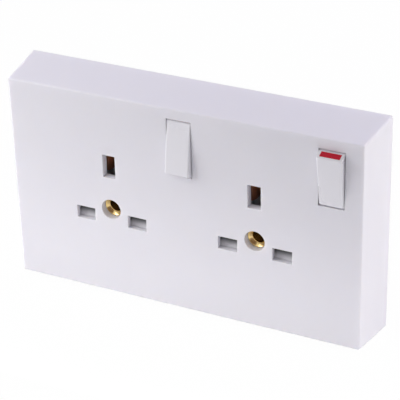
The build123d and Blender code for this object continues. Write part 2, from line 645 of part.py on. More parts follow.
def line_clip(side):
    """A line pin's clip with its raised strip up to the fixed meeting point of the switch."""
    x_pin = OUTLETS[side] + PIN_SPREAD / 2
    x_climb = SWITCHES[side] - LINE_STRIP_GAP
    z_point = ROCKER_RISE + CONTACT_POINT_RISE
    x_pad = x_pin + JAW_WIDTH / 2 + STRIP_WIDTH / 2
    strip = pin_clip(x_pin, PIN_ROW, H_LINE)
    strip += strip_between((x_pad, PIN_ROW), (x_climb, PIN_ROW), H_LINE)
    strip += strip_between((x_climb, PIN_ROW), (x_climb, z_point), H_LINE)
    strip += strip_between((x_climb, z_point), (SWITCHES[side], z_point), H_LINE)
    reach = CONTACT_POINT_RISE + CONTACT_POINT_RADIUS
    dip = reach * math.sin(math.radians(CONTACT_RATIO * ROCKER_TILT))
    h_point = H_KNIFE - CONTACT_POINT_HEIGHT - dip - CONTACT_PLAY
    strip += rod(SWITCHES[side], z_point, CONTACT_POINT_RADIUS, H_LINE, h_point)
    return strip


def terminal(name):
    """A pillar terminal behind the base, with a square tenon staked over its strip."""
    x, z = TERMINALS[name]
    h_end = H_BASE - TERMINAL_LENGTH
    pillar = block(x, z, TERMINAL_SIZE, TERMINAL_SIZE, h_end, H_BASE)
    pillar = chamfer(pillar.edges().filter_by(Axis.Y), TERMINAL_EDGE)
    pillar += block(x, z, TENON_SIZE, TENON_SIZE, H_BASE, H_STRIP)
    pillar += block(x, z, TENON_HEAD_SIZE, TENON_HEAD_SIZE, H_STRIP, H_STRIP + TENON_HEAD_HEIGHT)
    wire_hole = Cylinder(WIRE_HOLE_RADIUS, 2 * TERMINAL_SIZE)
    pillar -= Pos(x, WIRE_HOLE_DEPTH - H_BASE, z) * wire_hole
    tapping = TERMINAL_SCREW_RADIUS + TERMINAL_SCREW_CLEARANCE
    pillar -= rod(x, z, tapping, h_end, H_BASE - WIRE_HOLE_DEPTH)
    return pillar


def slotted_head(x, z, radius, h_back, h_front):
    """A round screw head facing the wall, with a driver slot."""
    head = rod(x, z, radius, h_back, h_front)
    return head - block(x, z, 2 * radius, DRIVE_SLOT_WIDTH, h_back, h_back + DRIVE_SLOT_DEPTH)


def terminal_screws():
    """The terminal screws, tightened from behind onto the wires."""
    h_seat = H_BASE - TERMINAL_LENGTH
    h_tip = H_BASE - WIRE_HOLE_DEPTH
    screws = []
    for x, z in TERMINALS.values():
        shank = rod(x, z, TERMINAL_SCREW_RADIUS, h_seat, h_tip)
        head = slotted_head(x, z, TERMINAL_SCREW_HEAD_RADIUS, h_seat - TERMINAL_SCREW_HEAD_HEIGHT, h_seat)
        screws.append(shank + head)
    return Compound(children=screws)


def base_screws():
    """The screws that hold the base to the housing's bosses."""
    screws = []
    for x, z in SCREW_PLACES:
        shank = rod(x, z, SCREW_RADIUS, H_BASE, H_BASE + SCREW_LENGTH)
        head = slotted_head(x, z, SCREW_HEAD_RADIUS, H_BASE - SCREW_HEAD_HEIGHT, H_BASE)
        screws.append(shank + head)
    return Compound(children=screws)


def nodes():
    """Every piece by its node name, in its place at rest."""
    pieces = {
        "front_housing": front_housing(),
        "rear_base": rear_base(),
        "earth_strap": earth_strap(),
        "neutral_bar": neutral_bar(),
        "line_feed_bar": line_feed_bar(),
        "terminal_screws": terminal_screws(),
        "base_screws": base_screws(),
    }
    for name in TERMINALS:
        pieces[f"{name}_terminal"] = terminal(name)
    for side, x in OUTLETS.items():
        place = rocker_place(side)
        pieces[f"{side}_fixing_eyelet"] = fixing_eyelet(x)
        pieces[f"{side}_rocker"] = place * rocker()
        pieces[f"{side}_on_flash"] = place * flash_block(FLASH_THICKNESS, FLASH_PROUD)
        pieces[f"{side}_plunger"] = place * plunger()
        pieces[f"{side}_plunger_spring"] = place * plunger_spring()
        pieces[f"{side}_rocking_contact"] = rocking_contact(side)
        pieces[f"{side}_shutter"] = shutter(x)
        pieces[f"{side}_shutter_spring"] = shutter_spring(x)
        pieces[f"{side}_line_clip"] = line_clip(side)
    return pieces


os.makedirs("parts", exist_ok=True)
for node, shape in nodes().items():
    export_step(shape, f"parts/{node}.step")
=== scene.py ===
"""Looks of a switched double socket converter: finishes, turned and wound pieces, and the studio.

Everything is in metres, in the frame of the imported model: +X to the right seen from the front, +Z up,
the front face looks along -Y, and the wall plane is y = 0. A height counted from the wall towards the
front is called rise.
"""

import logging
import math
from dataclasses import dataclass
from enum import Enum

import bpy
from mathutils import Matrix, Vector


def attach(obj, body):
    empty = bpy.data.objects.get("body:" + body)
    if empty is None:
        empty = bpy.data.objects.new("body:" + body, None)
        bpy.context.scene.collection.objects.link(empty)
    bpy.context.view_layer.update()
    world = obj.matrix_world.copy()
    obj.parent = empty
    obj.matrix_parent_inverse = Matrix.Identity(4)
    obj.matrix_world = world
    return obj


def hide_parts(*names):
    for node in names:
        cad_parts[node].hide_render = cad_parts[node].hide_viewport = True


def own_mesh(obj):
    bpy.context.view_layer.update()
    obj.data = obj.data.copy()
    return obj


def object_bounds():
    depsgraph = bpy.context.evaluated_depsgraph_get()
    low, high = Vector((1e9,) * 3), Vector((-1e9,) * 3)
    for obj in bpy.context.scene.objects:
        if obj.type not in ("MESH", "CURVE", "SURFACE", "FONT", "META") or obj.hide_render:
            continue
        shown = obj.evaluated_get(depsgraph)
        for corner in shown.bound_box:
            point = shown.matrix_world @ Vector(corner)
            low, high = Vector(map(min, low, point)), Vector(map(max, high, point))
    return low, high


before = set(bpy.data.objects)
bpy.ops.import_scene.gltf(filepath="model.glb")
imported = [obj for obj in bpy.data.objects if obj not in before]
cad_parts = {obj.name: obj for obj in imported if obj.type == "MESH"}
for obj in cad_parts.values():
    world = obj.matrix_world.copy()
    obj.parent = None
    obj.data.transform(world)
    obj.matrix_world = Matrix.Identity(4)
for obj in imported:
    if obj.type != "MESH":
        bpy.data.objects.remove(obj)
CAD_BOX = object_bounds()

MM = 0.001
SIDES = ("left", "right")
LOG = logging.getLogger("socket_converter")

Colour = tuple[float, float, float]
Point = tuple[float, float, float]
Ring = tuple[float, float]  # a ring of a turned profile, as (radius, rise)

# Shared by the finishes
MILKY_REACH = 2.0 * MM  # how far light goes under a milky surface
MILKY_TINT: Colour = (1.0, 0.95, 0.9)  # the shares of that reach for red, green and blue
GRAIN_DETAIL = 3.0  # the octaves of the fine marks
ROLLED_STRETCH: Point = (0.06, 1.0, 1.0)  # rolled marks run along X
CLOUD_SCALE = 60.0  # the slow wandering of colour and roughness
CLOUD_DETAIL = 4.0  # its octaves
CLOUD_LOW = 0.25  # the part of its span that the roughness follows
CLOUD_HIGH = 0.75

# Shared by the modelled pieces
WELD = 1e-7  # points nearer than this are one
SHARP_DEGREES = 35.0  # edges that turn further stay sharp
COIL_SHARP_DEGREES = 50.0
COIL_STEPS = 32  # the spans of each turn
COIL_SIDES = 12
UPRIGHT_TO_FRONT = 90.0  # the turn about X that lays a piece built up along Z along -Y

# Shared in the studio
WHITE: Colour = (1.0, 1.0, 1.0)
FACE_MIDDLE: Point = (0.0, -0.02, 0.02)  # where most lamps look


class Grain(Enum):
    """The kinds of fine surface that the finishes have."""

    MOULDED = "moulded"
    ROLLED = "rolled"
    TURNED = "turned"


@dataclass(frozen=True)
class PaintedDepthShade:
    """Painted shade: how a finish's colour is darkened with depth behind the front, where little light
    reaches.

    Attributes:
        start: The rise at which it begins.
        end: The rise from which it is full, nearer the wall.
        share: The share of the colour that is left there.
    """

    start: float
    end: float
    share: float


@dataclass(frozen=True)
class Finish:
    """A procedural finish: colour, gloss and fine surface of one material.

    Attributes:
        name: The material's name.
        slot: The record's material slot that it belongs to; not used.
        colour: Its middle colour, linear.
        mottle: The share by which the colour wanders, up and down.
        roughness: The middle roughness.
        rough_spread: How far the roughness wanders, up and down.
        metallic: 1 for bare metal, 0 for a moulding.
        grain: The kind of fine surface.
        grain_size: The size of its marks, in metres.
        grain_height: The height of its marks, in metres.
        painted_depth_shade: The painted shade that darkens its colour with depth, if it has one.
        milky: The share of light that goes in under the surface and comes out near by.
        gloss: The shader's specular level.
    """

    name: str
    slot: str
    colour: Colour
    mottle: float
    roughness: float
    rough_spread: float
    metallic: float
    grain: Grain
    grain_size: float
    grain_height: float
    painted_depth_shade: PaintedDepthShade | None = None
    milky: float = 0.0
    gloss: float = 0.5

    def material(self, centre: Point = (0.0, 0.0, 0.0)) -> bpy.types.Material:
        """Build the finish as a node material.

        Args:
            centre: The point that turned marks run round, on an axis along Y.

        Returns:
            The new material.
        """
        made = bpy.data.materials.new(self.name)
        made.use_nodes = True
        nodes = made.node_tree.nodes
        shader = nodes["Principled BSDF"]
        shader.inputs["Metallic"].default_value = self.metallic
        shader.inputs["Specular IOR Level"].default_value = self.gloss
        shader.inputs["Subsurface Weight"].default_value = self.milky
        shader.inputs["Subsurface Radius"].default_value = MILKY_TINT
        shader.inputs["Subsurface Scale"].default_value = MILKY_REACH
        marks = self._marks(made.node_tree, centre)
        self._wander(made.node_tree, shader)
        bump = nodes.new("ShaderNodeBump")
        bump.inputs["Distance"].default_value = self.grain_height
        made.node_tree.links.new(marks, bump.inputs["Height"])
        made.node_tree.links.new(bump.outputs["Normal"], shader.inputs["Normal"])
        return made

    def _marks(self, tree: bpy.types.NodeTree, centre: Point) -> bpy.types.NodeSocket:
        """Add the fine marks that the bump reads.

        Args:
            tree: The material's node tree.
            centre: The point that turned marks run round.

        Returns:
            The socket that carries the height of the marks.
        """
        nodes, links = tree.nodes, tree.links
        place = nodes.new("ShaderNodeTexCoord")
        mapping = nodes.new("ShaderNodeMapping")
        mapping.inputs["Location"].default_value = tuple(-value for value in centre)
        links.new(place.outputs["Object"], mapping.inputs["Vector"])
        noise = nodes.new("ShaderNodeTexNoise")
        noise.inputs["Scale"].default_value = 1.0 / self.grain_size
        noise.inputs["Detail"].default_value = GRAIN_DETAIL
        if self.grain is Grain.TURNED:
            links.new(self._round_about(tree, mapping.outputs["Vector"]), noise.inputs["Vector"])
        else:
            if self.grain is Grain.ROLLED:
                mapping.inputs["Scale"].default_value = ROLLED_STRETCH
            links.new(mapping.outputs["Vector"], noise.inputs["Vector"])
        return noise.outputs["Fac"]

    def _round_about(self, tree: bpy.types.NodeTree, vector: bpy.types.NodeSocket) -> bpy.types.NodeSocket:
        """Fold a place about the Y axis into its radius and height, so that marks run in rings.

        Args:
            tree: The material's node tree.
            vector: The place, counted from the axis.

        Returns:
            The socket of the folded place.
        """
        nodes, links = tree.nodes, tree.links
        apart = nodes.new("ShaderNodeSeparateXYZ")
        links.new(vector, apart.inputs["Vector"])
        flat = nodes.new("ShaderNodeCombineXYZ")
        links.new(apart.outputs["X"], flat.inputs["X"])
        links.new(apart.outputs["Z"], flat.inputs["Y"])
        radius = nodes.new("ShaderNodeVectorMath")
        radius.operation = "LENGTH"
        links.new(flat.outputs["Vector"], radius.inputs[0])
        folded = nodes.new("ShaderNodeCombineXYZ")
        links.new(radius.outputs["Value"], folded.inputs["X"])
        links.new(apart.outputs["Y"], folded.inputs["Y"])
        return folded.outputs["Vector"]

    def _wander(self, tree: bpy.types.NodeTree, shader: bpy.types.Node) -> None:
        """Let the colour and the roughness wander over the surface.

        Args:
            tree: The material's node tree.
            shader: The shader that takes them.
        """
        nodes, links = tree.nodes, tree.links
        place = nodes.new("ShaderNodeTexCoord")
        cloud = nodes.new("ShaderNodeTexNoise")
        cloud.inputs["Scale"].default_value = CLOUD_SCALE
        cloud.inputs["Detail"].default_value = CLOUD_DETAIL
        links.new(place.outputs["Object"], cloud.inputs["Vector"])
        tint = nodes.new("ShaderNodeMix")
        tint.data_type = "RGBA"
        darker = (value * (1 - self.mottle) for value in self.colour)
        lighter = (min(1.0, value * (1 + self.mottle)) for value in self.colour)
        tint.inputs["A"].default_value = (*darker, 1.0)
        tint.inputs["B"].default_value = (*lighter, 1.0)
        links.new(cloud.outputs["Fac"], tint.inputs["Factor"])
        links.new(self._darken(tree, tint.outputs["Result"]), shader.inputs["Base Color"])
        rough = nodes.new("ShaderNodeMapRange")
        rough.inputs["From Min"].default_value = CLOUD_LOW
        rough.inputs["From Max"].default_value = CLOUD_HIGH
        rough.inputs["To Min"].default_value = self.roughness - self.rough_spread
        rough.inputs["To Max"].default_value = self.roughness + self.rough_spread
        links.new(cloud.outputs["Fac"], rough.inputs["Value"])
        links.new(rough.outputs["Result"], shader.inputs["Roughness"])

    def _darken(self, tree: bpy.types.NodeTree, colour: bpy.types.NodeSocket) -> bpy.types.NodeSocket:
        """Paint shade into a colour by darkening it with depth behind the front, where the finish has a
        painted depth shade.

        Args:
            tree: The material's node tree.
            colour: The colour without painted shade.

        Returns:
            The socket of the colour with its painted shade, or the same colour where it has none.
        """
        if self.painted_depth_shade is None:
            return colour
        nodes, links = tree.nodes, tree.links
        place = nodes.new("ShaderNodeTexCoord")
        apart = nodes.new("ShaderNodeSeparateXYZ")
        links.new(place.outputs["Object"], apart.inputs["Vector"])
        depth = nodes.new("ShaderNodeMapRange")
        depth.interpolation_type = "SMOOTHSTEP"
        depth.inputs["From Min"].default_value = -self.painted_depth_shade.start
        depth.inputs["From Max"].default_value = -self.painted_depth_shade.end
        depth.inputs["To Min"].default_value = 1.0
        depth.inputs["To Max"].default_value = self.painted_depth_shade.share
        links.new(apart.outputs["Y"], depth.inputs["Value"])
        dark = nodes.new("ShaderNodeMix")
        dark.data_type = "RGBA"
        dark.blend_type = "MULTIPLY"
        dark.inputs["Factor"].default_value = 1.0
        links.new(colour, dark.inputs["A"])
        links.new(depth.outputs["Result"], dark.inputs["B"])
        return dark.outputs["Result"]


WHITE_MOULDING = Finish(
    name="white_moulding", slot="white_moulding", colour=(0.800, 0.783, 0.832), mottle=0.012,
    roughness=0.48, rough_spread=0.05, metallic=0.0,
    grain=Grain.MOULDED, grain_size=0.0006, grain_height=0.000006, milky=0.8, gloss=0.4,
)
ROCKER_MOULDING = Finish(
    name="rocker_moulding", slot="rocker_moulding", colour=(0.810, 0.793, 0.839), mottle=0.010,
    roughness=0.28, rough_spread=0.05, metallic=0.0,
    grain=Grain.MOULDED, grain_size=0.0005, grain_height=0.000004, milky=0.2, gloss=0.6,
)
RED_FLASH = Finish(
    name="red_flash", slot="red_flash", colour=(0.55, 0.022, 0.040), mottle=0.06,
    roughness=0.40, rough_spread=0.06, metallic=0.0,
    grain=Grain.MOULDED, grain_size=0.0004, grain_height=0.000006, gloss=0.08,
)
SHUTTER_MOULDING = Finish(
    name="shutter_moulding", slot="shutter_moulding", colour=(0.86, 0.842, 0.885), mottle=0.015,
    roughness=0.5, rough_spread=0.05, metallic=0.0,
    grain=Grain.MOULDED, grain_size=0.0006, grain_height=0.000008,
    # painted shade: the ramp's colour darkens towards its deep upper end, where the slot's walls shade it
    painted_depth_shade=PaintedDepthShade(start=19.9 * MM, end=18.5 * MM, share=0.12),
)
BASE_MOULDING = Finish(
    name="base_moulding", slot="base_moulding", colour=(0.74, 0.73, 0.75), mottle=0.02,
    roughness=0.55, rough_spread=0.06, metallic=0.0,
    grain=Grain.MOULDED, grain_size=0.0009, grain_height=0.000015,
)
EYELET_BRASS = Finish(
    name="eyelet_brass", slot="eyelet_brass", colour=(0.80, 0.60, 0.27), mottle=0.05,
    roughness=0.21, rough_spread=0.05, metallic=1.0,
    grain=Grain.TURNED, grain_size=0.00018, grain_height=0.000004,
    # painted shade: the bore's colour darkens with depth, standing in for the dark inside the tube
    painted_depth_shade=PaintedDepthShade(start=18.4 * MM, end=15.0 * MM, share=0.4),
)
CONTACT_BRASS = Finish(
    name="contact_brass", slot="contact_brass", colour=(0.66, 0.37, 0.23), mottle=0.10,
    roughness=0.38, rough_spread=0.08, metallic=1.0,
    grain=Grain.ROLLED, grain_size=0.00025, grain_height=0.000006,
)
TERMINAL_BRASS = Finish(
    name="terminal_brass", slot="terminal_brass", colour=(0.74, 0.55, 0.25), mottle=0.06,
    roughness=0.30, rough_spread=0.06, metallic=1.0,
    grain=Grain.ROLLED, grain_size=0.0003, grain_height=0.000005,
)
PLATED_SCREW = Finish(
    name="plated_screw", slot="plated_screw", colour=(0.70, 0.69, 0.65), mottle=0.06,
    roughness=0.28, rough_spread=0.07, metallic=1.0,
    grain=Grain.MOULDED, grain_size=0.0004, grain_height=0.000006,
)
PLUNGER_NYLON = Finish(
    name="plunger_nylon", slot="plunger_nylon", colour=(0.80, 0.78, 0.71), mottle=0.03,
    roughness=0.48, rough_spread=0.05, metallic=0.0,
    grain=Grain.MOULDED, grain_size=0.0005, grain_height=0.000008,
)
SPRING_STEEL = Finish(
    name="spring_steel", slot="spring_steel", colour=(0.50, 0.50, 0.51), mottle=0.08,
    roughness=0.30, rough_spread=0.06, metallic=1.0,
    grain=Grain.ROLLED, grain_size=0.0002, grain_height=0.000004,
)


def start_afresh() -> None:
    """Leave edit mode and deselect everything, before a new piece."""
    if bpy.context.object and bpy.context.object.mode != "OBJECT":
        bpy.ops.object.mode_set(mode="OBJECT")
    bpy.ops.object.select_all(action="DESELECT")


def pick(piece: bpy.types.Object, *others: bpy.types.Object) -> None:
    """Select a piece, alone or with others, and make it the active one.

    Args:
        piece: The piece to make active.
        others: More pieces to select.
    """
    start_afresh()
    for chosen in (piece, *others):
        chosen.select_set(True)
    bpy.context.view_layer.objects.active = piece


def name_piece(name: str) -> bpy.types.Object:
    """Give the active object and its mesh a name.

    Args:
        name: The piece's name.

    Returns:
        The active object.
    """
    piece = bpy.context.object
    piece.name = name
    piece.data.name = name
    return piece


def mend_faces(sharp_degrees: float = SHARP_DEGREES) -> None:
    """Merge the active piece's doubles, turn its faces outwards and smooth all but its sharp edges.

    Args:
        sharp_degrees: Edges that turn further than this stay sharp.
    """
    bpy.ops.object.mode_set(mode="EDIT")
    bpy.ops.mesh.select_all(action="SELECT")
    bpy.ops.mesh.remove_doubles(threshold=WELD)
    bpy.ops.mesh.normals_make_consistent(inside=False)
    bpy.ops.object.mode_set(mode="OBJECT")
    bpy.ops.object.shade_smooth_by_angle(angle=math.radians(sharp_degrees))


def set_place(piece: bpy.types.Object, place: Point, lean: float = 0.0) -> None:
    """Turn a piece built up along Z to face the front, lean it, and apply its place to its mesh.

    Args:
        piece: The piece, built about the origin.
        place: Where its origin goes.
        lean: Its extra turn about X, in degrees.
    """
    pick(piece)
    piece.rotation_euler = (math.radians(UPRIGHT_TO_FRONT + lean), 0.0, 0.0)
    piece.location = place
    bpy.ops.object.transform_apply(location=True, rotation=True, scale=True)


def turn_rings(name: str, profile: list[Ring], around: int, closed: bool) -> bpy.types.Object:
    """Turn a profile about Z, ring by ring.

    Args:
        name: The piece's name.
        profile: The rings in order.
        around: How many points each ring has.
        closed: Whether the last ring joins the first, as on a tube; otherwise both ends are capped.

    Returns:
        The new piece, about the origin.
    """
    start_afresh()
    radius, rise = profile[0]
    bpy.ops.mesh.primitive_circle_add(vertices=around, radius=radius, location=(0.0, 0.0, rise),
                                      fill_type="NOTHING" if closed else "NGON")
    bpy.ops.object.transform_apply(location=True, rotation=False, scale=False)
    piece = name_piece(name)
    bpy.ops.object.mode_set(mode="EDIT")
    bpy.ops.mesh.select_all(action="SELECT")
    rings = profile[1:] + profile[:1] if closed else profile[1:]
    for next_radius, next_rise in rings:
        bpy.ops.mesh.extrude_region_move(TRANSFORM_OT_translate={"value": (0.0, 0.0, next_rise - rise)})
        share = next_radius / radius
        bpy.ops.transform.resize(value=(share, share, 1.0), center_override=(0.0, 0.0, next_rise))
        radius, rise = next_radius, next_rise
    bpy.ops.object.mode_set(mode="OBJECT")
    mend_faces()
    return piece


def wind_coil(name: str, radius: float, wire: float, turns: int, pitch: float, low: float,
              sides: int = COIL_SIDES) -> bpy.types.Object:
    """Wind a wire about Z with a screw modifier, and cap its ends.

    Args:
        name: The piece's name.
        radius: From the axis to the middle of the wire.
        wire: The wire's radius.
        turns: How many whole turns there are.
        pitch: The rise of each turn.
        low: The rise of the middle of the wire's lower end.
        sides: How many sides the wire has.

    Returns:
        The new piece, about the origin.
    """
    start_afresh()
    bpy.ops.mesh.primitive_circle_add(vertices=sides, radius=wire, location=(radius, 0.0, low),
                                      rotation=(math.pi / 2, 0.0, 0.0), fill_type="NOTHING")
    bpy.ops.object.transform_apply(location=True, rotation=True, scale=False)
    piece = name_piece(name)
    winding = piece.modifiers.new("winding", "SCREW")
    winding.axis = "Z"
    winding.angle = 2 * math.pi
    winding.iterations = turns
    winding.screw_offset = pitch
    winding.steps = COIL_STEPS
    winding.render_steps = COIL_STEPS
    bpy.ops.object.modifier_apply(modifier=winding.name)
    bpy.ops.object.mode_set(mode="EDIT")
    bpy.ops.mesh.select_all(action="SELECT")
    bpy.ops.mesh.fill_holes(sides=0)
    bpy.ops.object.mode_set(mode="OBJECT")
    mend_faces(COIL_SHARP_DEGREES)
    return piece


def copy_piece(piece: bpy.types.Object, name: str, shift: Vector) -> bpy.types.Object:
    """Copy a finished piece with its own mesh and move the copy's mesh.

    Args:
        piece: The piece to copy.
        name: The copy's name.
        shift: How far the copy's mesh moves.

    Returns:
        The copy.
    """
    pick(piece)
    bpy.ops.object.duplicate()
    copy = name_piece(name)
    copy.location = shift
    bpy.ops.object.transform_apply(location=True, rotation=False, scale=False)
    return copy


def coat(piece: bpy.types.Object, material: bpy.types.Material) -> None:
    """Put one material on a piece in place of any other.

    Args:
        piece: The piece.
        material: Its only material from now on.
    """
    piece.data.materials.clear()
    piece.data.materials.append(material)


@dataclass
class FixingEyelets:
    """The two bell-mouthed brass eyelets in the fixing holes.

    Attributes:
        centres: From one eyelet's axis to the other's.
        bore: The bore's radius.
        tube: The tube's outer radius.
        rim: The radius of the bell's rim.
        bell: The depth of the flare, which runs at 45 degrees.
        seat: The rise of the rim's back.
        front: The rise of the bell's mouth.
        lip: The size of the small broken edges.
        ease: How far from its corners the flare is rounded.
        ease_rings: The spans of each rounded corner.
        around: How many points each ring has.
    """

    centres: float = 60.3 * MM
    bore: float = 2.5 * MM
    tube: float = 3.1 * MM
    rim: float = 4.0 * MM
    bell: float = 1.4 * MM
    seat: float = 17.4 * MM
    front: float = 19.6 * MM
    lip: float = 0.12 * MM
    ease: float = 0.3 * MM
    ease_rings: int = 5
    around: int = 96

    def profile(self) -> list[Ring]:
        """The eyelet's rings from its back end up the bore, over the flared bell and down the outside.

        Returns:
            The rings in order.
        """
        throat = self.front - self.bell
        mouth = self.bore + self.bell
        slope = self.ease * math.sqrt(0.5)  # the ease along a flare at 45 degrees
        rings = [(self.bore + self.lip, 0.0), (self.bore, self.lip)]
        rings += self._eased(start=(self.bore, throat - self.ease), corner=(self.bore, throat),
                             end=(self.bore + slope, throat + slope))
        rings += self._eased(start=(mouth - slope, self.front - slope), corner=(mouth, self.front),
                             end=(self.rim, self.front - self.lip))
        rings += [
            (self.rim, self.seat + self.lip),
            (self.rim - self.lip, self.seat),
            (self.tube, self.seat),
            (self.tube, 0.0),
        ]
        return rings

    def _eased(self, start: Ring, corner: Ring, end: Ring) -> list[Ring]:
        """Round a corner of the profile.

        Args:
            start: Where the curve leaves the line before the corner.
            corner: The corner itself.
            end: Where it joins the line after it.

        Returns:
            The rings of the curve.
        """
        points = (start, corner, end)
        rings = []
        for step in range(self.ease_rings + 1):
            share = step / self.ease_rings
            weights = ((1 - share) ** 2, 2 * share * (1 - share), share ** 2)
            radius, rise = (sum(w * p[axis] for w, p in zip(weights, points)) for axis in (0, 1))
            rings.append((radius, rise))
        return rings

    def build(self) -> list[bpy.types.Object]:
        """Turn the left eyelet, copy it to the right, and dress both.

        Returns:
            The two pieces.
        """
        reach = self.centres / 2
        left = turn_rings("left_eyelet", self.profile(), self.around, closed=True)
        set_place(left, (-reach, 0.0, 0.0))
        right = copy_piece(left, "right_eyelet", Vector((self.centres, 0.0, 0.0)))
        for side, piece, middle in (("left", left, -reach), ("right", right, reach)):
            coat(piece, EYELET_BRASS.material((middle, 0.0, 0.0)))
            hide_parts(f"{side}_fixing_eyelet")
            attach(piece, "housing")
        return [left, right]


@dataclass
class Springs:
    """The wound springs: one under each shutter and one behind each plunger.

    Attributes:
        outlet: From the middle to either outlet's axis.
        switch_right: Where the right switch stands along X; the left one stands at 0.
        pivot_rise: The rise of the rockers' pivots.
        pivot_up: The height of the rockers' pivots.
        shutter_axis: The rise of the shutter springs' axes.
        shutter_seat: The height of the shutter springs' lower ends.
        shutter_length: The length of a shutter's spring at rest.
        shutter_radius: From its axis to the middle of its wire.
        shutter_wire: Its wire's radius.
        shutter_turns: Its whole turns.
        shutter_keep: The share of its length that is left when its shutter is right down; not used.
        plunger_low: From a rocker's pivot to the near end of its plunger's spring.
        plunger_length: The length of a plunger's spring.
        plunger_radius: From its axis to the middle of its wire.
        plunger_wire: Its wire's radius.
        plunger_turns: Its whole turns.
        tilt: How far either rocker leans at rest, in degrees.
    """

    outlet: float = 30.15 * MM
    switch_right: float = 60.3 * MM
    pivot_rise: float = 19.0 * MM
    pivot_up: float = 32.17 * MM
    shutter_axis: float = 17.9 * MM
    shutter_seat: float = -24.34 * MM
    shutter_length: float = 12.0 * MM
    shutter_radius: float = 1.85 * MM
    shutter_wire: float = 0.3 * MM
    shutter_turns: int = 7
    shutter_keep: float = 0.5
    plunger_low: float = 0.2 * MM
    plunger_length: float = 3.23 * MM
    plunger_radius: float = 1.65 * MM
    plunger_wire: float = 0.25 * MM
    plunger_turns: int = 4
    tilt: float = 9.0

    def build(self) -> list[bpy.types.Object]:
        """Wind and dress all four springs.

        Returns:
            The pieces.
        """
        steel = SPRING_STEEL.material()
        pieces = self._shutter_springs() + self._plunger_springs()
        for piece in pieces:
            coat(piece, steel)
        return pieces

    def _shutter_springs(self) -> list[bpy.types.Object]:
        """Wind the left shutter's spring and copy it.

        Returns:
            The two springs.
        """
        pitch = (self.shutter_length - 2 * self.shutter_wire) / self.shutter_turns
        left = wind_coil("left_shutter_coil", self.shutter_radius, self.shutter_wire,
                         self.shutter_turns, pitch, self.shutter_wire)
        set_place(left, (-self.outlet, -self.shutter_axis, self.shutter_seat), lean=-UPRIGHT_TO_FRONT)
        right = copy_piece(left, "right_shutter_coil", Vector((2 * self.outlet, 0.0, 0.0)))
        for side, piece, x in (("left", left, -self.outlet), ("right", right, self.outlet)):
            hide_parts(f"{side}_shutter_spring")
            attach(piece, "housing")
            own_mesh(piece)
        return [left, right]

    def _plunger_springs(self) -> list[bpy.types.Object]:
        """Wind a spring behind each plunger, leaning with its rocker.

        Returns:
            The two springs.
        """
        pitch = (self.plunger_length - 2 * self.plunger_wire) / self.plunger_turns
        pieces = []
        for side, x, lean in (("left", 0.0, -self.tilt), ("right", self.switch_right, self.tilt)):
            piece = wind_coil(f"{side}_plunger_coil", self.plunger_radius, self.plunger_wire,
                              self.plunger_turns, pitch, self.plunger_low + self.plunger_wire)
            set_place(piece, (x, -self.pivot_rise, self.pivot_up), lean)
            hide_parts(f"{side}_plunger_spring")
            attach(piece, f"{side}_rocker_body")
            pieces.append(piece)
        return pieces


